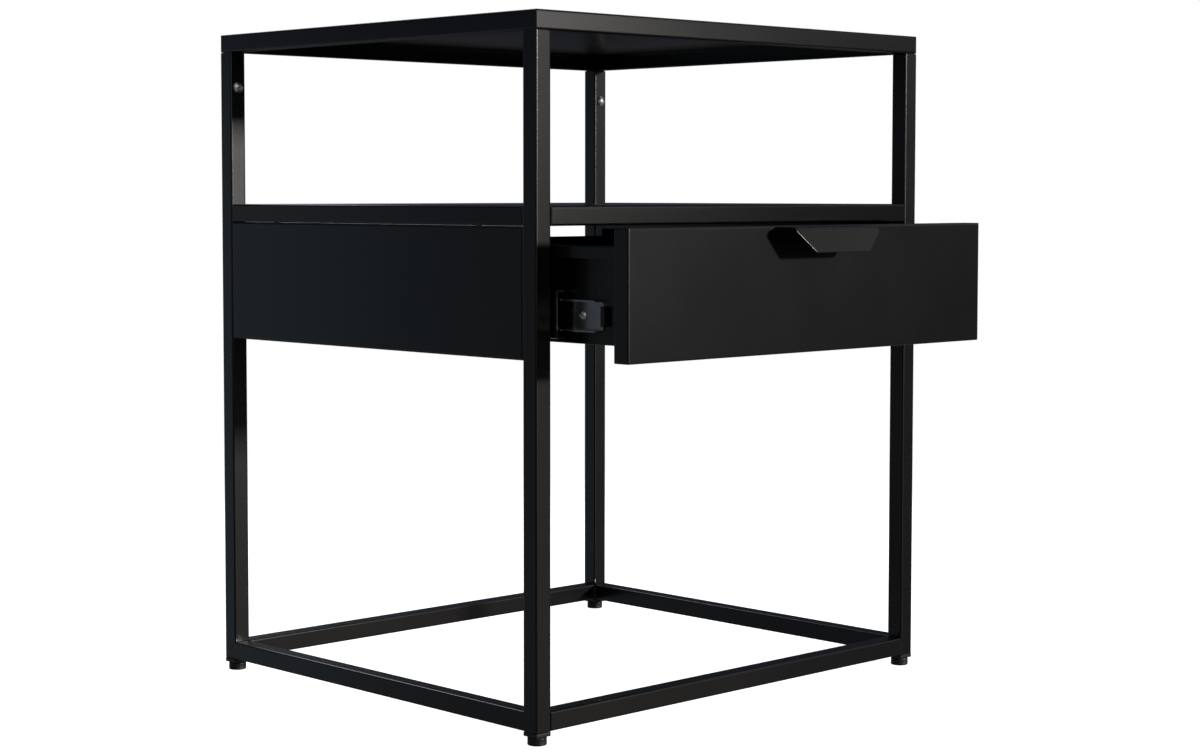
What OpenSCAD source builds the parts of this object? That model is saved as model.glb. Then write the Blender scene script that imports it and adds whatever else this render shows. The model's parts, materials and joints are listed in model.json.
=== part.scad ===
// Side table with one drawer: a frame of square steel tube, a folded sheet top and
// shelf, sheet side panels, and a sheet drawer on two three-part ball slides.
// X runs from left to right, -Y is the front and Z is up. The origin is the middle
// of the footprint on the floor. The drawer is drawn partly pulled out.

/* [Table] */
// Width outside the tubes
table_w = 450; // [360:5:600]
// Depth outside the tubes, without the drawer
table_d = 400; // [330:5:520]
// Height from the floor to the top surface
table_h = 550; // [450:5:700]
// Height from the floor to the shelf surface
shelf_z = 405; // [330:5:420]
// Fold height of the edge of the top
top_band = 15; // [12:1:25]
// Fold height of the edge of the shelf
shelf_band = 15; // [12:1:25]

/* [Tube and sheet] */
// Side of the square tube
tube = 15; // [12:0.5:25]
// Wall of the square tube
tube_wall = 1.2; // [0.8:0.1:2]
// Outside corner radius of the tube
tube_r = 1.3; // [0.5:0.1:3]
// Thickness of the top, shelf and side panel sheet
sheet = 1.2; // [0.8:0.1:2]
// Outside radius of a fold
fold_r = 1.4; // [0.5:0.1:1.8]
// Width of the return lip under the top and the shelf
tray_lip = 12; // [6:1:20]
// Width of the return lip round a side panel
panel_lip = 10; // [5:1:15]
// Seam between two flush pieces
seam = 0.3; // [0.1:0.05:1]

/* [Drawer] */
// How far the drawer is drawn out
drawer_open = 80; // [0:5:200]
// Height of the side panels, which is also the height of the drawer opening
panel_h = 100; // [90:5:150]
// Thickness of the drawer front
front_t = 15; // [12:1:25]
// Gap at each end of the drawer front
front_gap = 1; // [0.5:0.5:4]
// Gap above the drawer front
front_gap_top = 0.5; // [0.5:0.5:4]
// Gap below the drawer front
front_gap_low = 1; // [0.5:0.5:4]
// Return lip round the back of the drawer front
front_lip = 25; // [15:1:28]
// Depth of the drawer box behind its front
box_d = 300; // [270:5:310]
// Height of the drawer box walls
box_h = 73.3; // [60:0.1:75]
// From the bottom of the side panels up to the bottom of the drawer box
box_rise = 13; // [12:1:20]
// Thickness of the drawer sheet
box_sheet = 1; // [0.8:0.1:1.5]
// How far the top fold of a drawer wall stands out
wall_lip = 9; // [4:0.5:10]
// How far that fold turns down
wall_drop = 9.6; // [4:0.2:12]
// Width of the foot fold that carries the drawer bottom
wall_foot = 12; // [6:1:20]

/* [Handle] */
// Width of the handle
handle_w = 98.6; // [60:0.2:160]
// Width of the handle at the bottom of its lip
handle_w_low = 65.2; // [40:0.2:120]
// From the drawer front to the bend
handle_reach = 20.7; // [14:0.1:30]
// From the top of the handle down to the end of its lip
handle_drop = 19.5; // [12:0.5:28]
// Lean of the lip away from the drawer
handle_flare = 18; // [5:1:30]
// Thickness of the handle plate
handle_t = 2; // [1.5:0.1:3]
// Outside radius of the handle bend
handle_r = 3; // [2.2:0.1:5]
// Length of the tail inside the drawer front
handle_tail = 10; // [5:1:10]

/* [Slides] */
// Length of each slide member
slide_len = 250; // [200:10:280]
// How far the drawer can be drawn out
slide_travel = 250; // [200:10:250]
// Room for a slide between the frame and the drawer
slide_gap = 12.7; // [12.7:0.1:14]
// Height of the outer member, on the frame
outer_h = 45; // [44:0.5:48]
// Height of the middle member
middle_h = 36.4; // [36:0.1:37]
// Height of the inner member, on the drawer
inner_h = 23.6; // [22:0.1:24]
// Sheet of the slide members
slide_sheet = 1.2; // [1:0.1:1.4]
// From the back of the drawer front to the slides
slide_setback = 21; // [8:1:40]
// Height of the slide middle above the bottom of the side panels
slide_rise = 34.3; // [34:0.1:40]
// Length of a ball cage
cage_len = 100; // [80:5:110]
// Balls in each row of a cage
cage_balls = 5; // [3:1:6]
// Ball gap to the races
ball_gap = 0.05; // [0.03:0.01:0.1]

/* [Feet] */
// Diameter of a foot
foot_d = 14.8; // [12:0.2:24]
// Height of a foot
foot_h = 6.3; // [5:0.1:12]
// Height of the square flange of a foot plug
plug_flange = 3.5; // [2:0.1:6]
// Diameter of the plug's threaded boss
plug_boss_d = 10; // [9:0.1:10.4]
// Height of the plug's threaded boss
plug_boss_h = 11; // [8:0.5:12]
// Diameter of a foot's stud
stud_d = 6; // [5:0.5:8]

/* [Fasteners] */
// Shank of the screws that hold the top
top_screw_d = 5; // [4:0.5:6]
// From the bottom of the top's edge down to its screws
top_screw_drop = 30; // [20:1:60]
// Shank of the small screws
small_screw_d = 4; // [3:0.5:5]

/* [Hidden] */
$fn = 32;

steel_black = [0.10, 0.10, 0.11];
zinc = [0.74, 0.75, 0.77];
plastic_black = [0.05, 0.05, 0.055];

// overall places
hw = table_w / 2;
hd = table_d / 2;
foot_gap = 0.2;                                  // between a foot and its plug
frame_z = foot_h + foot_gap + plug_flange;       // underside of the frame
post_x = hw - tube / 2;
post_y = hd - tube / 2;
post_top = table_h - top_band - seam;
inside_x = hw - tube;                            // the plane of the tubes' inner faces
inside_y = hd - tube;
span_x = 2 * (inside_x - seam);                  // what fits between two posts
span_y = 2 * (inside_y - seam);
cut = 1;                                         // how far a cutter runs past a face

// drawer opening
panel_z = shelf_z - shelf_band - seam - panel_h;
opening_top = shelf_z - shelf_band;
front_w = 2 * (inside_x - front_gap);
front_top = opening_top - front_gap_top;
front_low = panel_z + front_gap_low;
front_h = front_top - front_low;

// drawer box, in its closed place
box_x = inside_x - slide_gap;                    // outer face of a drawer side
box_y0 = -hd + front_t;
box_y1 = box_y0 + box_d;
box_z = panel_z + box_rise;
box_top = box_z + box_h;
bottom_top = box_z + 2 * box_sheet;              // upper face of the drawer bottom

// slides, in their closed place; s is the distance in from the frame's inner plane
slide_z = panel_z + slide_rise;
slide_y0 = box_y0 + slide_setback;
slide_r = 1.6;                                   // outside corner of a slide member
middle_s = slide_sheet + 0.8;                    // web of the middle member
outer_tip = slide_gap - 2.7;                     // open edge of the outer member
middle_tip = slide_gap - 3.1;
cage_t = 0.4;
outer_cage_s = slide_sheet + 0.2;
inner_cage_s = middle_s + slide_sheet + 0.2;
inner_tip = inner_cage_s + cage_t + 0.5;         // open edge of the inner member
outer_ball_d = (outer_h - middle_h) / 2 - slide_sheet - 2 * ball_gap;
inner_ball_d = (middle_h - inner_h) / 2 - slide_sheet - 2 * ball_gap;
outer_ball_v = (outer_h / 2 - slide_sheet + middle_h / 2) / 2;
inner_ball_v = (middle_h / 2 - slide_sheet + inner_h / 2) / 2;
ball_play = 0.15;                                // between a ball and its cage
outer_ball_s = outer_cage_s + cage_t + outer_ball_d / 2 + 1.5;
inner_ball_s = inner_cage_s + cage_t + inner_ball_d / 2 + ball_play + 0.1;
cage_y0 = slide_y0 + slide_travel / 4 + 9;       // keeps a cage between its members when fully out
cage_pitch = cage_len / cage_balls;
channel_h = min(46, 2 * (slide_rise - panel_lip) - 0.4);

// spigots of the top, inside the posts
spigot_side = tube - 2 * max(tube_wall, sheet) - 0.2;
spigot_wall = 1.5;
spigot_below = 8;                                // below the screw
screw_z = table_h - top_band - top_screw_drop;

// ---- helpers ----

module rounded_rect(w, h, r) {
    square([w - 2 * r, h], center = true);
    square([w, h - 2 * r], center = true);
    for (sx = [-1, 1], sy = [-1, 1])
        translate([sx * (w / 2 - r), sy * (h / 2 - r)]) circle(r);
}

// a block whose twelve edges are rounded
module soft_block(size, r) {
    intersection() {
        linear_extrude(size[2], center = true) rounded_rect(size[0], size[1], r);
        rotate([90, 0, 0]) linear_extrude(size[1], center = true) rounded_rect(size[0], size[2], r);
        rotate([90, 0, 90]) linear_extrude(size[0], center = true) rounded_rect(size[1], size[2], r);
    }
}

// a sheet folded into a shallow pan: its face is up at z = 0, and its lips turn in below
module folded_pan(w, d, h, wall, lip, r) {
    translate([0, 0, -h / 2]) difference() {
        soft_block([w, d, h], r);
        cube([w - 2 * wall, d - 2 * wall, h - 2 * wall], center = true);
        translate([0, 0, -h / 2]) cube([w - 2 * lip, d - 2 * lip, 3 * wall], center = true);
    }
}

module tube_section(side, wall, r) {
    difference() {
        rounded_rect(side, side, r);
        square(side - 2 * wall, center = true);
    }
}

// a channel section with its web at x = 0, open at x = w
module c_section(w, h, t, r) {
    intersection() {
        translate([0, -h / 2]) square([w, h]);
        translate([w, 0]) difference() {
            rounded_rect(2 * w, h, r);
            rounded_rect(2 * (w - t), h - 2 * t, max(r - t, 0.1));
        }
    }
}

// extrudes an XZ section from y0 to y1
module along_y(y0, y1) {
    translate([0, y1, 0]) rotate([90, 0, 0]) linear_extrude(y1 - y0) children();
}

// copies what is drawn for the front left corner or the left side
module to_right() { mirror([1, 0, 0]) children(); }
module to_rear() { mirror([0, 1, 0]) children(); }
module at_each_corner() {
    children();
    to_right() children();
    to_rear() children();
    to_right() to_rear() children();
}
module at_both_sides() {
    children();
    to_right() children();
}

// moves a piece forward with the drawer, by its share of the drawer's travel
module drawn_out(share) {
    translate([0, -share * drawer_open, 0]) children();
}

// a cross-recessed pan head screw: the head is above z = 0, the shank below
module pan_screw(d, shank, head_d, head_h) {
    difference() {
        intersection() {
            cylinder(d = head_d, h = head_h);
            translate([0, 0, head_h - head_d * 0.62]) sphere(head_d * 0.62);
        }
        for (a = [0, 90])
            rotate([0, 0, a]) translate([0, 0, head_h])
                cube([head_d * 0.55, head_d * 0.12, head_h * 0.9], center = true);
    }
    translate([0, 0, -shank]) cylinder(d = d, h = shank + 0.1);
}

// ---- frame ----

module post() {
    difference() {
        translate([-post_x, -post_y, frame_z])
            linear_extrude(post_top - frame_z) tube_section(tube, tube_wall, tube_r);
        // mitre to the side rail
        translate([-hw - cut, 0, 0]) rotate([90, 0, 90]) linear_extrude(tube + 2 * cut)
            polygon([[-hd - cut, frame_z - cut], [-inside_y + cut, frame_z - cut],
                     [-inside_y + cut, frame_z + tube + cut]]);
        // hole for the top screw
        translate([-post_x, -inside_y - tube / 2, screw_z]) rotate([-90, 0, 0])
            cylinder(d = top_screw_d + 0.3, h = tube / 2 + cut);
    }
}

module front_left_post() { color(steel_black) post(); }
module front_right_post() { color(steel_black) to_right() post(); }
module rear_left_post() { color(steel_black) to_rear() post(); }
module rear_right_post() { color(steel_black) to_right() to_rear() post(); }

module front_rail() {
    translate([-inside_x, -post_y, frame_z + tube / 2]) rotate([90, 0, 90])
        linear_extrude(2 * inside_x) tube_section(tube, tube_wall, tube_r);
}

module front_lower_rail() { color(steel_black) front_rail(); }
module rear_lower_rail() { color(steel_black) to_rear() front_rail(); }

module side_rail() {
    difference() {
        translate([-post_x, 0, frame_z + tube / 2]) along_y(-hd, hd)
            tube_section(tube, tube_wall, tube_r);
        for (end = [0, 1]) mirror([0, end, 0]) {
            // mitre to the post
            translate([-hw - cut, 0, 0]) rotate([90, 0, 90]) linear_extrude(tube + 2 * cut)
                polygon([[-hd - cut, frame_z - cut], [-inside_y + cut, frame_z + tube + cut],
                         [-hd - cut, frame_z + tube + cut]]);
            // hole for the foot plug's boss
            translate([-post_x, -post_y, frame_z - cut])
                cylinder(d = plug_boss_d + 0.2, h = tube_wall + 2 * cut);
        }
    }
}

module left_lower_rail() { color(steel_black) side_rail(); }
module right_lower_rail() { color(steel_black) to_right() side_rail(); }

module table_top() {
    color(steel_black) difference() {
        translate([0, 0, table_h]) folded_pan(table_w, table_d, top_band, sheet, tray_lip, fold_r);
        // the lips stop at the posts, so that the spigots pass
        at_each_corner() translate([-hw + sheet, -hd + sheet, post_top - cut])
            cube([tube - sheet, tube - sheet, sheet + seam + 2 * cut]);
    }
}

module top_spigots() {
    color(steel_black) at_each_corner() difference() {
        translate([-post_x, -post_y, screw_z - spigot_below])
            linear_extrude(table_h - sheet - screw_z + spigot_below)
                tube_section(spigot_side, spigot_wall, 0.6);
        translate([-post_x, -post_y, screw_z]) rotate([-90, 0, 0])
            cylinder(d = top_screw_d + 0.1, h = tube);
    }
}

module top_screws() {
    color(zinc) at_each_corner()
        translate([-post_x, -inside_y, screw_z]) rotate([-90, 0, 0])
            pan_screw(top_screw_d, 9, 1.9 * top_screw_d, 0.68 * top_screw_d);
}

module shelf() {
    wide = [table_w, span_y];
    deep = [span_x, table_d];
    color(steel_black) translate([0, 0, shelf_z - shelf_band / 2]) difference() {
        union() {
            for (arm = [wide, deep]) soft_block([arm[0], arm[1], shelf_band], fold_r);
        }
        for (arm = [wide, deep])
            cube([arm[0] - 2 * sheet, arm[1] - 2 * sheet, shelf_band - 2 * sheet], center = true);
        // open below, inside the lips
        for (arm = [[wide[0] - 2 * tray_lip, wide[1] - 2 * sheet], [deep[0] - 2 * sheet, deep[1] - 2 * tray_lip]])
            translate([0, 0, -shelf_band / 2]) cube([arm[0], arm[1], 3 * sheet], center = true);
        shelf_screw_places() translate([0, 0, -shelf_band])
            cylinder(d = small_screw_d + 0.2, h = shelf_band);
    }
}

// where the shelf is screwed to the side panels
module shelf_screw_places() {
    for (sx = [-1, 1], sy = [-1, 1])
        translate([sx * (hw - tray_lip / 2), sy * inside_y * 0.7, 0]) children();
}

module shelf_screws() {
    color(zinc) translate([0, 0, panel_z + panel_h - sheet]) shelf_screw_places()
        rotate([180, 0, 0]) pan_screw(small_screw_d, sheet + seam + sheet + 4, 7.5, 2.6);
}

module side_panel() {
    difference() {
        translate([-hw, 0, panel_z + panel_h / 2]) rotate([0, -90, 0])
            folded_pan(panel_h, span_y, tube, sheet, panel_lip, fold_r);
        translate([0, 0, panel_z + panel_h - 2 * sheet]) shelf_screw_places()
            cylinder(d = small_screw_d + 0.2, h = 3 * sheet);
    }
}

module left_side_panel() { color(steel_black) side_panel(); }
module right_side_panel() { color(steel_black) to_right() side_panel(); }

// the channel inside a side panel that its slide is screwed to
module slide_channel() {
    reach = span_y / 2 - panel_lip - 0.2;
    difference() {
        translate([-inside_x, 0, slide_z]) along_y(-reach, reach)
            mirror([1, 0]) c_section(tube - sheet, channel_h, sheet, fold_r);
        outer_screw_places() rotate([0, -90, 0]) translate([0, 0, -cut])
            cylinder(d = small_screw_d + 0.1, h = sheet + 2 * cut);
    }
}

module left_slide_channel() { color(steel_black) slide_channel(); }
module right_slide_channel() { color(steel_black) to_right() slide_channel(); }

// ---- feet ----

module foot_plug() {
    translate([-post_x, -post_y, frame_z - plug_flange]) difference() {
        union() {
            translate([0, 0, plug_flange / 2]) soft_block([tube, tube, plug_flange], 0.8);
            cylinder(d = plug_boss_d, h = plug_flange + plug_boss_h);
        }
        translate([0, 0, -cut]) cylinder(d = stud_d + 0.1, h = plug_flange + plug_boss_h + 2 * cut);
    }
}

module front_left_plug() { color(plastic_black) foot_plug(); }
module front_right_plug() { color(plastic_black) to_right() foot_plug(); }
module rear_left_plug() { color(plastic_black) to_rear() foot_plug(); }
module rear_right_plug() { color(plastic_black) to_right() to_rear() foot_plug(); }

// a foot with rounded rims, on a stud that turns in the plug
module level_foot() {
    rim = 0.8;
    stud_len = plug_flange + plug_boss_h - 1;
    translate([-post_x, -post_y, 0]) {
        rotate_extrude() difference() {
            translate([0, foot_h / 2]) rounded_rect(foot_d, foot_h, rim);
            translate([-foot_d, -cut]) square([foot_d, foot_h + 2 * cut]);
        }
        translate([0, 0, foot_h - 0.1]) cylinder(d = stud_d, h = stud_len + 0.1);
    }
}

module front_left_foot() { color(plastic_black) level_foot(); }
module front_right_foot() { color(plastic_black) to_right() level_foot(); }
module rear_left_foot() { color(plastic_black) to_rear() level_foot(); }
module rear_right_foot() { color(plastic_black) to_right() to_rear() level_foot(); }

// ---- slides ----

// the slide's own frame on the left: x is s, z is measured from its middle line
module slide_frame() { translate([-inside_x, 0, slide_z]) children(); }

module outer_screw_places() {
    for (y = [slide_y0 + 30, slide_y0 + slide_len - 30])
        translate([-inside_x, y, slide_z]) children();
}

module outer_slide() {
    curl = 0.9;
    difference() {
        slide_frame() along_y(slide_y0, slide_y0 + slide_len) {
            c_section(outer_tip, outer_h, slide_sheet, slide_r);
            for (side = [-1, 1])
                translate([outer_tip - slide_sheet / 2, side * (outer_h / 2 - slide_sheet - curl / 2)])
                    square([slide_sheet, curl + 0.2], center = true);
        }
        outer_screw_places() rotate([0, 90, 0]) outer_slide_screw(0.05);
    }
}

// a countersunk screw whose head is flush in the web; z points into the slide
module outer_slide_screw(ease) {
    translate([0, 0, -6]) cylinder(d = small_screw_d + 2 * ease, h = 6 + slide_sheet);
    cylinder(d1 = small_screw_d + 2 * ease, d2 = small_screw_d + 2.4 + 2 * ease, h = slide_sheet + ease);
}

module left_outer_slide() { color(zinc) outer_slide(); }
module right_outer_slide() { color(zinc) to_right() outer_slide(); }

module outer_slide_screws() {
    color(zinc) at_both_sides() outer_screw_places() rotate([0, 90, 0]) outer_slide_screw(0);
}

module middle_slide() {
    stop_hole = 6;
    difference() {
        slide_frame() along_y(slide_y0, slide_y0 + slide_len)
            translate([middle_s, 0]) c_section(middle_tip - middle_s, middle_h, slide_sheet, slide_r);
        // access holes over the outer member's screws
        for (y = [slide_y0 + 30, slide_y0 + slide_len - 30])
            slide_frame() translate([0, y, 0]) rotate([0, 90, 0]) cylinder(d = stop_hole, h = middle_s + 2 * slide_sheet);
    }
}

module left_middle_slide() { color(zinc) drawn_out(0.5) middle_slide(); }
module right_middle_slide() { color(zinc) drawn_out(0.5) to_right() middle_slide(); }

module inner_screw_places() {
    for (y = [slide_y0 + 22, slide_y0 + slide_len / 2, slide_y0 + slide_len - 22])
        translate([-inside_x + slide_gap, y, slide_z]) children();
}

module inner_slide() {
    end_r = 4;
    difference() {
        intersection() {
            slide_frame() along_y(slide_y0, slide_y0 + slide_len)
                translate([slide_gap, 0]) mirror([1, 0])
                    c_section(slide_gap - inner_tip, inner_h, slide_sheet, slide_r);
            slide_frame() translate([0, slide_y0 + slide_len / 2, 0]) rotate([90, 0, 90])
                linear_extrude(slide_gap) rounded_rect(slide_len, inner_h, end_r);
        }
        inner_screw_places() rotate([0, -90, 0]) translate([0, 0, -cut])
            cylinder(d = small_screw_d + 0.1, h = slide_sheet + 2 * cut);
    }
}

module left_inner_slide() { color(zinc) drawn_out(1) inner_slide(); }
module right_inner_slide() { color(zinc) drawn_out(1) to_right() inner_slide(); }

module inner_slide_screws() {
    color(zinc) drawn_out(1) at_both_sides() inner_screw_places()
        translate([-slide_sheet, 0, 0]) rotate([0, -90, 0])
            pan_screw(small_screw_d, slide_sheet + box_sheet + 0.4, 7, 2);
}

// a plastic bumper on the front end of each inner member
module slide_bumpers() {
    length = 4;
    color(plastic_black) drawn_out(1) at_both_sides() slide_frame()
        translate([slide_gap - 2.5, slide_y0 - length / 2, 0])
            soft_block([5, length, inner_h * 0.65], 1.2);
}

// a thin cage that holds one row of balls above and one below
module cage(s, width, half, ball_d, ball_s) {
    difference() {
        slide_frame() along_y(cage_y0, cage_y0 + cage_len)
            translate([s, 0]) c_section(width, 2 * half + cage_t, cage_t, cage_t + 0.3);
        ball_places(ball_s, 0) cylinder(d = ball_d + 2 * ball_play, h = 4 * half, center = true);
    }
}

module ball_places(s, v) {
    for (i = [0 : cage_balls - 1])
        slide_frame() translate([s, cage_y0 + (i + 0.5) * cage_pitch, v]) children();
}

module balls(ball_d, s, v) {
    for (side = [-1, 1]) ball_places(s, side * v) sphere(d = ball_d);
}

module outer_cage() {
    cage(outer_cage_s, outer_ball_s - outer_cage_s + outer_ball_d / 2 + 0.8, outer_ball_v, outer_ball_d, outer_ball_s);
}
module inner_cage() {
    cage(inner_cage_s, inner_ball_s - inner_cage_s + inner_ball_d / 2 + 0.7, inner_ball_v, inner_ball_d, inner_ball_s);
}

module left_outer_cage() { color(zinc) drawn_out(0.25) outer_cage(); }
module right_outer_cage() { color(zinc) drawn_out(0.25) to_right() outer_cage(); }
module left_inner_cage() { color(zinc) drawn_out(0.75) inner_cage(); }
module right_inner_cage() { color(zinc) drawn_out(0.75) to_right() inner_cage(); }

module outer_balls() { balls(outer_ball_d, outer_ball_s, outer_ball_v); }
module inner_balls() { balls(inner_ball_d, inner_ball_s, inner_ball_v); }

module left_outer_balls() { color(zinc) drawn_out(0.25) outer_balls(); }
module right_outer_balls() { color(zinc) drawn_out(0.25) to_right() outer_balls(); }
module left_inner_balls() { color(zinc) drawn_out(0.75) inner_balls(); }
module right_inner_balls() { color(zinc) drawn_out(0.75) to_right() inner_balls(); }

// ---- drawer ----

// section of a drawer wall: its outer face is at x = 0, the drawer's inside is at +x.
// The top folds out and down over the slide, and the foot folds in under the bottom.
module wall_section() {
    t = box_sheet;
    translate([0, box_z + t]) square([t, box_h - 2 * t]);
    translate([t - wall_lip, box_top - t]) square([wall_lip - t, t]);
    translate([-wall_lip, box_top - wall_drop]) square([t, wall_drop - t]);
    translate([t, box_z]) square([wall_foot - t, t]);
    for (fold = [[0, box_top - t], [t - wall_lip, box_top - t], [t, box_z + t]])
        translate(fold) circle(t);
}

module drawer_side() {
    difference() {
        translate([-box_x, 0, 0]) along_y(box_y0, box_y1) wall_section();
        inner_screw_places() rotate([0, 90, 0]) translate([0, 0, -cut])
            cylinder(d = small_screw_d + 0.1, h = box_sheet + 2 * cut);
    }
}

module drawer_left_side() { color(steel_black) drawn_out(1) drawer_side(); }
module drawer_right_side() { color(steel_black) drawn_out(1) to_right() drawer_side(); }

module drawer_back() {
    reach = box_x - box_sheet - 0.1;
    color(steel_black) drawn_out(1) difference() {
        translate([-reach, box_y1, 0]) rotate([90, 0, 90]) mirror([1, 0, 0])
            linear_extrude(2 * reach) wall_section();
        // relief notches where the sides' feet pass
        at_both_sides() translate([-reach - cut, box_y1 - wall_foot - cut, box_z - cut])
            cube([wall_foot - box_sheet + cut, wall_foot + 2 * cut, 2 * box_sheet + 0.1 + cut]);
    }
}

module drawer_inner_front() {
    reach = box_x - box_sheet - 0.1;
    hem = 8;
    color(steel_black) drawn_out(1) difference() {
        union() {
            translate([-reach, box_y0, bottom_top + 0.1])
                cube([2 * reach, box_sheet, box_top - box_sheet - bottom_top - 0.1]);
            translate([-reach, box_y0 + box_sheet, box_top - box_sheet]) cube([2 * reach, hem - box_sheet, box_sheet]);
            translate([-reach, box_y0 + box_sheet, box_top - box_sheet]) rotate([0, 90, 0])
                cylinder(r = box_sheet, h = 2 * reach);
        }
        front_screw_places() cylinder(d = small_screw_d + 0.1, h = 6, center = true);
    }
}

// the bottom lies on the feet of the sides and the back, clear of their folds
module drawer_bottom() {
    reach = box_x - 2 * box_sheet - 0.1;
    color(steel_black) drawn_out(1)
        translate([-reach, box_y0 + 0.1, bottom_top - box_sheet])
            cube([2 * reach, box_d - 2 * box_sheet - 0.2, box_sheet]);
}

// the screws' axes, at the back of the drawer front; z points into the drawer
module front_screw_places() {
    edge = 7;
    for (sx = [-1, 1], z = [box_z + edge, box_top - edge])
        translate([sx * (box_x - edge), box_y0, z]) rotate([-90, 0, 0]) children();
}

module drawer_front_screws() {
    color(zinc) drawn_out(1) front_screw_places() translate([0, 0, box_sheet])
        pan_screw(small_screw_d, 7, 7, 2.4);
}

module drawer_front() {
    color(steel_black) drawn_out(1) difference() {
        translate([0, -hd, (front_low + front_top) / 2]) rotate([90, 0, 0])
            folded_pan(front_w, front_h, front_t, box_sheet, front_lip, fold_r);
        // slot for the handle's tail, under the top fold
        translate([-handle_w / 2 - 0.1, -hd - cut, front_top - box_sheet - handle_t - 0.1])
            cube([handle_w + 0.2, box_sheet + 2 * cut, handle_t + 0.1]);
        front_screw_places() cylinder(d = small_screw_d + 0.1, h = 6, center = true);
    }
}

// a bent plate: a shelf just under the drawer front's top fold, then a lip that leans out
handle_top = front_top - box_sheet;
handle_low = handle_top - handle_drop;
handle_bend = [-hd - handle_reach + handle_r * tan(45 - handle_flare / 2), handle_top - handle_r];

// a point of the bend, and where the lip that runs on from it ends, below its trimmed edge
function bend_point(r, a) = handle_bend + r * [cos(a), sin(a)];
function lip_end(start) = start - (start[1] - handle_low + cut) * [tan(handle_flare), 1];

module handle_section() {
    steps = 8;
    outer = [for (i = [0 : steps]) bend_point(handle_r, 90 + i / steps * (90 - handle_flare))];
    inner = [for (i = [steps : -1 : 0]) bend_point(handle_r - handle_t, 90 + i / steps * (90 - handle_flare))];
    tail = -hd + box_sheet + handle_tail;
    polygon(concat([[tail, handle_top]], outer, [lip_end(outer[steps]), lip_end(inner[0])],
                   inner, [[tail, handle_top - handle_t]]));
}

module drawer_handle() {
    nip = 1.2;                                   // clipped corners of the lip
    shoulder = handle_top - handle_r - 0.5;
    half = handle_w / 2;
    low_half = handle_w_low / 2;
    color(steel_black) drawn_out(1) intersection() {
        rotate([90, 0, 90]) linear_extrude(handle_w, center = true) handle_section();
        // front outline, narrower towards the bottom
        translate([0, -hd + front_t, 0]) rotate([90, 0, 0])
            linear_extrude(front_t + handle_reach + handle_drop)
                polygon([[-half - cut, handle_top + cut], [half + cut, handle_top + cut],
                         [half + cut, shoulder], [half, shoulder],
                         [low_half + nip / 2, handle_low + nip], [low_half - nip, handle_low],
                         [nip - low_half, handle_low], [-low_half - nip / 2, handle_low + nip],
                         [-half, shoulder], [-half - cut, shoulder]]);
    }
}

front_left_post();
front_right_post();
rear_left_post();
rear_right_post();
front_lower_rail();
rear_lower_rail();
left_lower_rail();
right_lower_rail();
table_top();
top_spigots();
top_screws();
shelf();
shelf_screws();
left_side_panel();
right_side_panel();
left_slide_channel();
right_slide_channel();
front_left_plug();
front_right_plug();
rear_left_plug();
rear_right_plug();
front_left_foot();
front_right_foot();
rear_left_foot();
rear_right_foot();
left_outer_slide();
right_outer_slide();
outer_slide_screws();
left_outer_cage();
right_outer_cage();
left_outer_balls();
right_outer_balls();
left_middle_slide();
right_middle_slide();
left_inner_cage();
right_inner_cage();
left_inner_balls();
right_inner_balls();
left_inner_slide();
right_inner_slide();
inner_slide_screws();
slide_bumpers();
drawer_front();
drawer_handle();
drawer_inner_front();
drawer_left_side();
drawer_right_side();
drawer_back();
drawer_bottom();
drawer_front_screws();
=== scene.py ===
import bpy
import bmesh
import json
import math
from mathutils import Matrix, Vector


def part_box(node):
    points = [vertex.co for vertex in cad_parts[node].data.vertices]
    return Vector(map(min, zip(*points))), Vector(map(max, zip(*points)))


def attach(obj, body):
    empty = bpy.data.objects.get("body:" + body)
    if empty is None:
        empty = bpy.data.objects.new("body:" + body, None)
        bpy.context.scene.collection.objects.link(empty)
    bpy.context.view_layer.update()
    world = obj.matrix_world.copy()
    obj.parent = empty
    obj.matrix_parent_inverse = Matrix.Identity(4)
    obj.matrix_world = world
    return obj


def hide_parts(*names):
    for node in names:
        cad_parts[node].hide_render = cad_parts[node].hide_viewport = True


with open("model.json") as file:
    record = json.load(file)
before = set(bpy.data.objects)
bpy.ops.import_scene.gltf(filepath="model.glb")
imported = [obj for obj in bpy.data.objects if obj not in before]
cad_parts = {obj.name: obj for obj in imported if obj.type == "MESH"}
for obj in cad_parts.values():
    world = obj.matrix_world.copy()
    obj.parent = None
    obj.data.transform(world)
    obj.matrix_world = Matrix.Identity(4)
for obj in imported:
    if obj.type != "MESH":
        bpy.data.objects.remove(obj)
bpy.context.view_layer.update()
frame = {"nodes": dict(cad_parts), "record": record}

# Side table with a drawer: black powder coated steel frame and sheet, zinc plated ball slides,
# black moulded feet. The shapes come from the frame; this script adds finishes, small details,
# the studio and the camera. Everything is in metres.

mm = 0.001
scene = bpy.context.scene
print("frame loaded:", len(frame["nodes"]), "nodes")


def fromHex(code):
    # sRGB hex to a linear colour with alpha
    parts = [int(code[i:i + 2], 16) / 255 for i in (0, 2, 4)]
    linear = [c / 12.92 if c <= 0.04045 else ((c + 0.055) / 1.055) ** 2.4 for c in parts]
    return (*linear, 1.0)


def addNode(tree, kind, inputs=None, **settings):
    # one shader node with its settings; an input goes by name or number, and may be a value
    # or another node's output
    node = tree.nodes.new("ShaderNode" + kind)
    for name, value in settings.items():
        setattr(node, name, value)
    for name, value in (inputs or {}).items():
        if isinstance(value, bpy.types.NodeSocket):
            tree.links.new(value, node.inputs[name])
        else:
            node.inputs[name].default_value = value
    return node


def startMaterial(name):
    # an empty node tree with its output node
    material = bpy.data.materials.new(name)
    material.use_nodes = True
    tree = material.node_tree
    tree.nodes.clear()
    output = addNode(tree, "OutputMaterial")
    return material, tree, output


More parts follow.
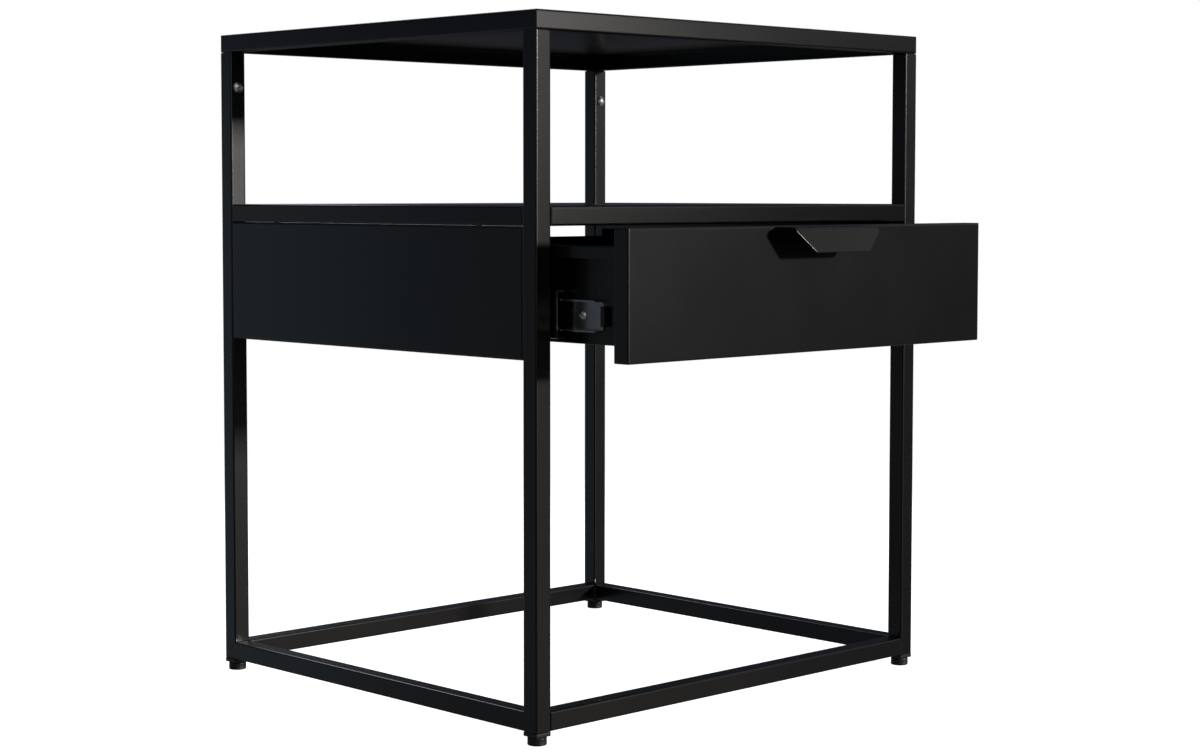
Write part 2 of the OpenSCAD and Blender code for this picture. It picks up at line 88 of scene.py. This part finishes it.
def blendColours(tree, factor, first, second):
    # the colour between two hex colours, by factor; a mix node has its sockets for floats and
    # vectors first, so those for colours go by number
    colourA, colourB, colourResult = 6, 7, 2
    mix = addNode(tree, "Mix", {"Factor": factor, colourA: fromHex(first), colourB: fromHex(second)},
                  data_type="RGBA")
    return mix.outputs[colourResult]


def spread(tree, value, low, high):
    # a 0 to 1 value stretched to run from low to high
    return addNode(tree, "MapRange", {"Value": value, "To Min": low, "To Max": high}).outputs["Result"]


# finishes: each has what a user would change, then how it is made

powderCoat = {
    "colour": "050506",        # the coat itself
    "paler": "08080a",         # where the coat is thin
    "roughness": (0.235, 0.265),
    "grain": 1.1 * mm,         # orange peel left by the powder as it flows out in the oven
    "peelDepth": 0.004 * mm,
    "ior": 1.5,
    "cloud": 60 * mm,          # slow change of gloss across a panel
    "edge": 1.3 * mm,          # how far the baked coat rounds an edge
}


def makePowderCoatedSteel():
    # black polyester powder coat, sprayed and baked: satin, with a faint orange peel, so a
    # reflection is soft and never quite even
    material, tree, output = startMaterial("powderCoatedSteelSatinBlack")
    place = addNode(tree, "TexCoord").outputs["Object"]
    peel = addNode(tree, "TexNoise", {"Vector": place, "Scale": 1 / powderCoat["grain"], "Detail": 1.5})
    cloud = addNode(tree, "TexNoise", {"Vector": place, "Scale": 1 / powderCoat["cloud"], "Detail": 3.0})
    gloss = spread(tree, cloud.outputs["Fac"], *powderCoat["roughness"])
    colour = blendColours(tree, cloud.outputs["Fac"], powderCoat["colour"], powderCoat["paler"])
    rounded = addNode(tree, "Bevel", {"Radius": powderCoat["edge"]}, samples=8).outputs["Normal"]
    bump = addNode(tree, "Bump", {"Height": peel.outputs["Fac"], "Distance": powderCoat["peelDepth"],
                                  "Strength": 1.0, "Normal": rounded})
    skin = addNode(tree, "BsdfPrincipled", {"Base Color": colour, "Roughness": gloss,
                                            "IOR": powderCoat["ior"], "Normal": bump.outputs["Normal"]})
    tree.links.new(skin.outputs["BSDF"], output.inputs["Surface"])
    return material


zincSheet = {
    "colour": "a4a7ab",
    "cooler": "94989e",
    "roughness": (0.17, 0.25),
    "streakWide": 0.5 * mm,    # rolling streaks along the strip, drawn coarser than real to show
    "streakLong": 60 * mm,
    "streakDepth": 0.004 * mm,
    "patch": 5 * mm,           # of paler and cooler passivation
}


def makeZincPlatedSteel():
    # cold rolled strip, roll formed and bright zinc plated: pale metal with fine streaks along
    # its length and a slightly blue passivation that comes and goes
    material, tree, output = startMaterial("zincPlatedSteelRollFormed")
    place = addNode(tree, "TexCoord").outputs["Object"]
    stretch = (1 / zincSheet["streakWide"], 1 / zincSheet["streakLong"], 1 / zincSheet["streakWide"])
    along = addNode(tree, "Mapping", {"Vector": place, "Scale": stretch})
    streaks = addNode(tree, "TexNoise", {"Vector": along.outputs["Vector"], "Scale": 1.0, "Detail": 3.0})
    patches = addNode(tree, "TexNoise", {"Vector": place, "Scale": 1 / zincSheet["patch"],
                                         "Detail": 2.0})
    gloss = spread(tree, streaks.outputs["Fac"], *zincSheet["roughness"])
    colour = blendColours(tree, patches.outputs["Fac"], zincSheet["colour"], zincSheet["cooler"])
    bump = addNode(tree, "Bump", {"Height": streaks.outputs["Fac"], "Distance": zincSheet["streakDepth"],
                                  "Strength": 0.5})
    metal = addNode(tree, "BsdfPrincipled", {"Base Color": colour, "Metallic": 1.0, "Roughness": gloss,
                                             "Normal": bump.outputs["Normal"]})
    tree.links.new(metal.outputs["BSDF"], output.inputs["Surface"])
    return material


zincScrew = {
    "colour": "d9dadb",
    "dull": "b9babb",
    "roughness": (0.28, 0.42),
    "knock": 0.6 * mm,         # size and depth of the barrel's knocks
    "knockDepth": 0.02 * mm,
}


def makeZincPlatedScrews():
    # cold headed, barrel plated screws: bright and smooth, with small dull knocks from the barrel
    material, tree, output = startMaterial("zincPlatedScrewsBarrelFinish")
    place = addNode(tree, "TexCoord").outputs["Object"]
    knocks = addNode(tree, "TexNoise", {"Vector": place, "Scale": 1 / zincScrew["knock"], "Detail": 2.0})
    gloss = spread(tree, knocks.outputs["Fac"], *zincScrew["roughness"])
    colour = blendColours(tree, knocks.outputs["Fac"], zincScrew["dull"], zincScrew["colour"])
    bump = addNode(tree, "Bump", {"Height": knocks.outputs["Fac"], "Distance": zincScrew["knockDepth"],
                                  "Strength": 0.5})
    metal = addNode(tree, "BsdfPrincipled", {"Base Color": colour, "Metallic": 1.0, "Roughness": gloss,
                                             "Normal": bump.outputs["Normal"]})
    tree.links.new(metal.outputs["BSDF"], output.inputs["Surface"])
    return material


ballSteel = {
    "colour": "c9cacb",
    "grease": "8f8a7c",
    "film": 2.5 * mm,          # size of the grease's patches
    "roughness": (0.06, 0.2),
}


def makeBearingSteel():
    # ground and lapped bearing balls under a thin smear of grease: near mirror, warm in patches
    material, tree, output = startMaterial("bearingSteelLappedGreased")
    place = addNode(tree, "TexCoord").outputs["Object"]
    film = addNode(tree, "TexNoise", {"Vector": place, "Scale": 1 / ballSteel["film"], "Detail": 2.0})
    gloss = spread(tree, film.outputs["Fac"], *ballSteel["roughness"])
    colour = blendColours(tree, film.outputs["Fac"], ballSteel["colour"], ballSteel["grease"])
    metal = addNode(tree, "BsdfPrincipled", {"Base Color": colour, "Metallic": 1.0, "Roughness": gloss})
    tree.links.new(metal.outputs["BSDF"], output.inputs["Surface"])
    return material


mouldedPlastic = {
    "colour": "08080a",
    "rubbed": "101011",
    "roughness": (0.34, 0.46),
    "spark": 0.35 * mm,        # spark eroded texture of the mould, drawn coarser than real to show
    "depth": 0.02 * mm,
    "ior": 1.49,
}


def makeMouldedPolypropylene():
    # black polypropylene, injection moulded in a spark eroded tool: a dull even grain that
    # breaks its highlights into a soft sparkle
    material, tree, output = startMaterial("polypropyleneMouldedBlack")
    place = addNode(tree, "TexCoord").outputs["Object"]
    spark = addNode(tree, "TexNoise", {"Vector": place, "Scale": 1 / mouldedPlastic["spark"], "Detail": 2.0})
    gloss = spread(tree, spark.outputs["Fac"], *mouldedPlastic["roughness"])
    colour = blendColours(tree, spark.outputs["Fac"], mouldedPlastic["colour"], mouldedPlastic["rubbed"])
    bump = addNode(tree, "Bump", {"Height": spark.outputs["Fac"], "Distance": mouldedPlastic["depth"],
                                  "Strength": 0.7})
    plastic = addNode(tree, "BsdfPrincipled", {"Base Color": colour, "Roughness": gloss,
                                               "IOR": mouldedPlastic["ior"],
                                               "Normal": bump.outputs["Normal"]})
    tree.links.new(plastic.outputs["BSDF"], output.inputs["Surface"])
    return material


finishes = {
    "black_steel": makePowderCoatedSteel(),
    "zinc_slide": makeZincPlatedSteel(),
    "zinc_screws": makeZincPlatedScrews(),
    "ball_steel": makeBearingSteel(),
    "black_plastic": makeMouldedPolypropylene(),
}
print("finishes made:", ", ".join(finishes))


sharpFrom = 35                 # degrees; edges that turn by more stay crisp


def shadeSoft(mesh):
    # round surfaces shade smooth, folds and cut edges stay crisp
    mesh.polygons.foreach_set("use_smooth", [True] * len(mesh.polygons))
    mesh.set_sharp_from_angle(angle=math.radians(sharpFrom))


for part in frame["record"]["subparts"]:
    piece = frame["nodes"][part["node"]]
    piece.data.materials.clear()
    piece.data.materials.append(finishes[part["material_slot"]])
    shadeSoft(piece.data)
    flatten = piece.modifiers.new("flatFaces", "WEIGHTED_NORMAL")  # big faces stay truly flat
    flatten.weight = 100       # the most: the largest face beside a vertex decides
    flatten.keep_sharp = True
print("finishes laid on the frame's pieces")


def finishPiece(build, name, slotName, body):
    # turns a bmesh into a piece that rides on a body
    mesh = bpy.data.meshes.new(name)
    build.to_mesh(mesh)
    build.free()
    mesh.materials.append(finishes[slotName])
    shadeSoft(mesh)
    piece = bpy.data.objects.new(name, mesh)
    scene.collection.objects.link(piece)
    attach(piece, body)
    return piece


def stitchRings(build, rings):
    # joins rings of vertices, all of one length, with quads
    count = len(rings[0])
    for lower, upper in zip(rings, rings[1:]):
        for i in range(count):
            j = (i + 1) % count
            build.faces.new((lower[i], lower[j], upper[j], upper[i]))


foot = {
    "soleRings": (0.3, 0.8),   # rings in the flat sole, as shares of the radius
    "rim": 0.9 * mm,           # rounding of the sole and the shoulder
    "rimSteps": 5,
    "flutes": 30,              # finger grips round the foot
    "fluteDepth": 0.16 * mm,
    "fluteRows": (0.12, 0.5, 0.88),  # where they run, as shares of the height between the rims
    "sides": 150,
    "gap": 0.2 * mm,           # between the foot and its plug
    "studRadius": 3.0 * mm,    # M6
    "neck": 0.84,              # the plain neck and the thread's end, as a share of that
    "tip": 0.7,                # and the chamfered tip
    "tipHeight": 0.8 * mm,
    "threadPitch": 1.0 * mm,
    "threadDepth": 0.5 * mm,
    "threadStart": 1.0 * mm,   # height of the neck above the foot
    "threadSteps": 6,          # rows in each turn of the thread
}


def footRadius(row, angle):
    # the radius of a row at an angle: smooth, fluted or threaded
    height, radius, kind = row
    if kind == "fluted":
        return radius - foot["fluteDepth"] * (0.5 - 0.5 * math.cos(foot["flutes"] * angle))
    if kind == "threaded":
        turn = height / foot["threadPitch"] - angle / (2 * math.pi)
        return radius - foot["threadDepth"] * abs(2 * (turn % 1) - 1)
    return radius


def makeFoot(end, side):
    # rows from the sole's middle up to the stud's tip, each a (height, radius, kind), turned
    # into rings; the body has the name of the node
    nodeName = f"{end}_{side}_foot"
    low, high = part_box(nodeName)
    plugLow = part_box(f"{end}_{side}_plug")[0]
    centre = (low + high) / 2
    outer = (high.x - low.x) / 2
    shoulder = plugLow.z - foot["gap"]
    rim, stud = foot["rim"], foot["studRadius"]
    arc = [math.pi / 2 * i / foot["rimSteps"] for i in range(foot["rimSteps"] + 1)]
    rows = [(0.0, outer * share, "plain") for share in foot["soleRings"]]
    rows += [(rim * (1 - math.cos(a)), outer - rim * (1 - math.sin(a)), "plain") for a in arc]
    grip = shoulder - 2 * rim
    rows += [(rim + grip * share, outer, "fluted") for share in foot["fluteRows"]]
    rows += [(shoulder - rim * (1 - math.sin(a)), outer - rim * (1 - math.cos(a)), "plain") for a in arc]
    bottom, top = shoulder + foot["threadStart"], high.z - foot["tipHeight"]
    rows += [(shoulder, stud, "plain"), (bottom, stud * foot["neck"], "plain")]
    turns = round((top - bottom) / foot["threadPitch"] * foot["threadSteps"])
    rows += [(bottom + (top - bottom) * i / turns, stud, "threaded") for i in range(1, turns)]
    rows += [(top, stud * foot["neck"], "plain"), (high.z, stud * foot["tip"], "plain")]

    build = bmesh.new()
    rings = []
    for row in rows:
        ring = []
        for i in range(foot["sides"]):
            angle = 2 * math.pi * i / foot["sides"]
            radius = footRadius(row, angle)
            spot = (centre.x + radius * math.cos(angle), centre.y + radius * math.sin(angle), row[0])
            ring.append(build.verts.new(spot))
        rings.append(ring)
    stitchRings(build, rings)
    build.faces.new(list(reversed(rings[0])))
    build.faces.new(rings[-1])
    piece = finishPiece(build, f"{end}_{side}_threaded_foot", "black_plastic", nodeName)
    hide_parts(nodeName)


weld = {
    "seamHalfWidth": 0.5 * mm,  # a mitre weld, ground nearly flush
    "seamHeight": 0.14 * mm,
    "seamSteps": 3,            # points on each half of its hump
    "fillet": 1.8 * mm,        # the weld left as laid in the inner corner
    "filletSteps": 6,
    "ripple": 1.4 * mm,        # spacing of the weld's ripples
    "rippleDepth": 0.02 * mm,
    "rooted": 0.3 * mm,        # how far a bead reaches into the tube
    "clear": 1.6 * mm,         # from its ends to the tube's rounded corners
    "steps": 36,
    "startSize": 0.05,         # a bead's size at its ends, as a share of the full size
    "taper": 1 / 6,            # the share of its length that it takes to reach that
}


def layBead(build, start, finish, across, outward, profile):
    # sweeps a closed profile of (sideways, outward) points along a line; it swells from a fine
    # start, runs with ripples and dies away again
    length = (finish - start).length
    rings = []
    for i in range(weld["steps"] + 1):
        part = i / weld["steps"]
        full = min(1, part / weld["taper"], (1 - part) / weld["taper"])
        swell = weld["startSize"] + (1 - weld["startSize"]) * full
        ripple = weld["rippleDepth"] * math.sin(2 * math.pi * part * length / weld["ripple"])
        spot = start.lerp(finish, part)
        ring = []
        for sideways, height in profile:
            lift = height + ripple if height > 0 else height
            ring.append(build.verts.new(spot + (across * sideways + outward * lift) * swell))
        rings.append(ring)
    stitchRings(build, rings)
    build.faces.new(rings[0])
    build.faces.new(rings[-1])


def makeWelds(end, side):
    # mitre welds on both faces of the side rail, and a fillet in the corner of the two rails
    postLow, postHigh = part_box(f"{end}_{side}_post")
    railLow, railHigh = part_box(f"{side}_lower_rail")
    outX, inX = (postLow.x, postHigh.x) if side == "left" else (postHigh.x, postLow.x)
    outY, inY = (postLow.y, postHigh.y) if end == "front" else (postHigh.y, postLow.y)
    outwards = Vector((math.copysign(1, outX), 0, 0))
    toMiddle = Vector((0, math.copysign(1, -outY), 0))
    up = Vector((0, 0, 1))
    rooted, clear = weld["rooted"], weld["clear"]

    build = bmesh.new()
    half, height = weld["seamHalfWidth"], weld["seamHeight"]
    steps = weld["seamSteps"]
    hump = [(half * i / steps, height * (1 - (i / steps) ** 2)) for i in range(-steps, steps + 1)]
    hump += [(half, -rooted), (-half, -rooted)]
    for faceX, away in ((outX, outwards), (inX, -outwards)):
        start = Vector((faceX, outY, railLow.z)) + (toMiddle + up) * clear
        finish = Vector((faceX, inY, railHigh.z)) - (toMiddle + up) * clear
        layBead(build, start, finish, (toMiddle - up).normalized(), away, hump)

    radius, steps = weld["fillet"], weld["filletSteps"]
    angles = [math.pi / 2 * i / steps for i in range(steps + 1)]
    hollow = [(radius * (1 - math.cos(a)), radius * (1 - math.sin(a))) for a in angles]
    hollow += [(radius, -rooted), (-rooted, -rooted), (-rooted, radius)]
    start = Vector((inX, inY, railLow.z + clear))
    finish = Vector((inX, inY, railHigh.z - clear))
    layBead(build, start, finish, -outwards, toMiddle, hollow)
    bmesh.ops.recalc_face_normals(build, faces=build.faces)
    finishPiece(build, f"{end}_{side}_welds", "black_steel", "frame")


for end in ("front", "rear"):
    for side in ("left", "right"):
        makeFoot(end, side)
        makeWelds(end, side)
print("feet and welds made")


tableLow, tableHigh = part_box("table_top")
middle = Vector(((tableLow.x + tableHigh.x) / 2, (tableLow.y + tableHigh.y) / 2, tableHigh.z / 2))

studio = {
    "backdrop": "ffffff",      # what the camera sees behind the table
    # the light of the room, as elevation in degrees and colour: a cool floor close by, warm
    # and then blue further off, a dark gap at the horizon, a pale band of wall just above it,
    # a dark wall and a soft ceiling
    "air": ((-30, "6d7278"), (-16, "4e463b"), (-9, "3b4252"), (-6, "020203"), (0, "070708"),
            (2, "505667"), (6, "505667"), (9, "202125"), (25, "202125"), (45, "89919c")),
    "floorRadius": 1.6,
    "floorSides": 96,
    "floorFade": (0.75, 1.5),  # the floor melts into the backdrop between these radii
    "floorColour": "f4f4f2",
    "floorGlow": 0.97,         # makes the floor as white as the backdrop
}

softboxes = {
    # azimuth is measured from the front towards the right, both angles in degrees; a light
    # that spares some pieces lights only the rest, and one that picks some lights only those
    "keyLight": {"azimuth": 24.3, "elevation": 10.3, "distance": 14, "size": (0.9, 0.9),
                 "watts": 1700, "colour": "fffcf5", "spares": ("table_top", "shelf")},
    "edgeLight": {"azimuth": 29, "elevation": 8, "distance": 5, "size": (2.0, 0.9),
                  "watts": 32, "colour": "fffcf5", "picks": ("table_top", "shelf")},
    "frontFill": {"azimuth": -30, "elevation": 22, "distance": 3, "size": (2.2, 2.2),
                  "watts": 16, "colour": "fff6e0"},
    "rightFill": {"azimuth": 60, "elevation": 22, "distance": 3, "size": (1.4, 1.4),
                  "watts": 2, "colour": "fffdf8"},
    "floorBounce": {"azimuth": 34, "elevation": -17, "distance": 3, "size": (1.2, 1.0),
                    "watts": 0.8, "colour": "ffeddc"},
    "leftCard": {"azimuth": -120, "elevation": -6, "distance": 3, "size": (1.4, 1.4),
                 "watts": 0.8, "colour": "e8f1f8"},
    "leftRearCard": {"azimuth": -150, "elevation": -6, "distance": 3, "size": (1.4, 1.4),
                     "watts": 1.6, "colour": "d6effb"},
    "rightCard": {"azimuth": 88, "elevation": -6, "distance": 3, "size": (1.6, 1.0),
                  "watts": 1.8, "colour": "e6effa"},
    "rearCard": {"azimuth": 180, "elevation": -6, "distance": 3, "size": (1.6, 1.0),
                 "watts": 1.8, "colour": "e6effa"},
    "backLight": {"azimuth": 165, "elevation": 32, "distance": 4, "size": (2.4, 1.6),
                  "watts": 30, "colour": "f2f6ff"},
}


def makeAir():
    # the world: a plain backdrop for the camera, the room's own light for everything else
    world = bpy.data.worlds.new("studioAir")
    scene.world = world
    world.use_nodes = True
    tree = world.node_tree
    tree.nodes.clear()
    output = addNode(tree, "OutputWorld")
    way = addNode(tree, "TexCoord").outputs["Generated"]
    height = addNode(tree, "SeparateXYZ", {"Vector": way}).outputs["Z"]
    above = addNode(tree, "MapRange", {"Value": height, "From Min": -1.0}).outputs["Result"]
    ramp = addNode(tree, "ValToRGB", {"Fac": above})
    stops = ramp.color_ramp.elements
    while len(stops) < len(studio["air"]):
        stops.new(1.0)
    for stop, (elevation, colour) in zip(stops, studio["air"]):
        stop.position = (1 + math.sin(math.radians(elevation))) / 2
        stop.color = fromHex(colour)
    lighting = addNode(tree, "Background", {"Color": ramp.outputs["Color"], "Strength": 1.0})
    backdrop = addNode(tree, "Background", {"Color": fromHex(studio["backdrop"]), "Strength": 1.0})
    seen = addNode(tree, "LightPath").outputs["Is Camera Ray"]
    pick = addNode(tree, "MixShader", {"Fac": seen})
    tree.links.new(lighting.outputs["Background"], pick.inputs[1])
    tree.links.new(backdrop.outputs["Background"], pick.inputs[2])
    tree.links.new(pick.outputs["Shader"], output.inputs["Surface"])


def makeFloor():
    # a round pale floor that melts into the backdrop; reflections pass through it, and it
    # can't be seen from below
    material, tree, output = startMaterial("floorPaintedPale")
    place = addNode(tree, "TexCoord").outputs["Object"]
    reach = addNode(tree, "VectorMath", {"Vector": place}, operation="LENGTH").outputs["Value"]
    fade = addNode(tree, "MapRange", {"Value": reach, "From Min": studio["floorFade"][0],
                                      "From Max": studio["floorFade"][1]},
                   interpolation_type="SMOOTHSTEP").outputs["Result"]
    matt = addNode(tree, "BsdfDiffuse", {"Color": fromHex(studio["floorColour"])})
    glow = addNode(tree, "Emission", {"Color": fromHex(studio["backdrop"]),
                                      "Strength": studio["floorGlow"]})
    lit = addNode(tree, "AddShader")
    tree.links.new(matt.outputs["BSDF"], lit.inputs[0])
    tree.links.new(glow.outputs["Emission"], lit.inputs[1])
    clear = addNode(tree, "BsdfTransparent")
    underside = addNode(tree, "NewGeometry").outputs["Backfacing"]
    unseen = addNode(tree, "Math", {0: fade, 1: underside}, operation="MAXIMUM").outputs["Value"]
    mix = addNode(tree, "MixShader", {"Fac": unseen})
    tree.links.new(lit.outputs["Shader"], mix.inputs[1])
    tree.links.new(clear.outputs["BSDF"], mix.inputs[2])
    tree.links.new(mix.outputs["Shader"], output.inputs["Surface"])

    build = bmesh.new()
    bmesh.ops.create_circle(build, cap_ends=True, segments=studio["floorSides"],
                            radius=studio["floorRadius"])
    mesh = bpy.data.meshes.new("studioFloor")
    build.to_mesh(mesh)
    build.free()
    mesh.materials.append(material)
    floor = bpy.data.objects.new("studioFloor", mesh)
    floor.location = (middle.x, middle.y, 0.0)
    floor.visible_glossy = False
    floor.visible_diffuse = False
    floor.visible_shadow = False
    scene.collection.objects.link(floor)


def aroundTable(azimuth, elevation, distance):
    # a place seen from the middle of the table
    turn, rise = math.radians(azimuth), math.radians(elevation)
    flat = distance * math.cos(rise)
    return middle + Vector((flat * math.sin(turn), -flat * math.cos(turn), distance * math.sin(rise)))


def linkPieces(lamp, names, state):
    # makes a light fall only on these pieces, or on all but these
    if not names:
        return
    group = bpy.data.collections.new(lamp.name + "Pieces")
    for name in names:
        group.objects.link(frame["nodes"][name])
    for link in group.collection_objects:
        link.light_linking.link_state = state
    lamp.light_linking.receiver_collection = group


def makeSoftboxes():
    for name, facts in softboxes.items():
        light = bpy.data.lights.new(name, "AREA")
        light.shape = "RECTANGLE"
        light.size, light.size_y = facts["size"]
        light.energy = facts["watts"]
        light.color = fromHex(facts["colour"])[:3]
        lamp = bpy.data.objects.new(name, light)
        lamp.location = aroundTable(facts["azimuth"], facts["elevation"], facts["distance"])
        lamp.rotation_euler = (middle - lamp.location).to_track_quat("-Z", "Y").to_euler()
        scene.collection.objects.link(lamp)
        linkPieces(lamp, facts.get("picks", ()), "INCLUDE")
        linkPieces(lamp, facts.get("spares", ()), "EXCLUDE")


makeAir()
makeFloor()
makeSoftboxes()
scene.view_settings.view_transform = "Standard"
print("studio set up")


viewPoint = {
    "place": (-1.38818, -1.45792, 0.41478),
    "turn": -43.378,           # degrees from straight ahead towards the right
    "tilt": -3.374,            # degrees below level
    "lens": 69.535,            # focal length for a sensor this wide, in millimetres
    "sensor": 36,
    "shift": (0.03228, -0.04011),
}


def makeCamera():
    lens = bpy.data.cameras.new("viewCamera")
    lens.lens = viewPoint["lens"]
    lens.sensor_width = viewPoint["sensor"]
    lens.shift_x, lens.shift_y = viewPoint["shift"]
    camera = bpy.data.objects.new("viewCamera", lens)
    camera.location = viewPoint["place"]
    camera.rotation_euler = (math.radians(90 + viewPoint["tilt"]), 0, math.radians(viewPoint["turn"]))
    scene.collection.objects.link(camera)
    scene.camera = camera


makeCamera()
print("camera placed")
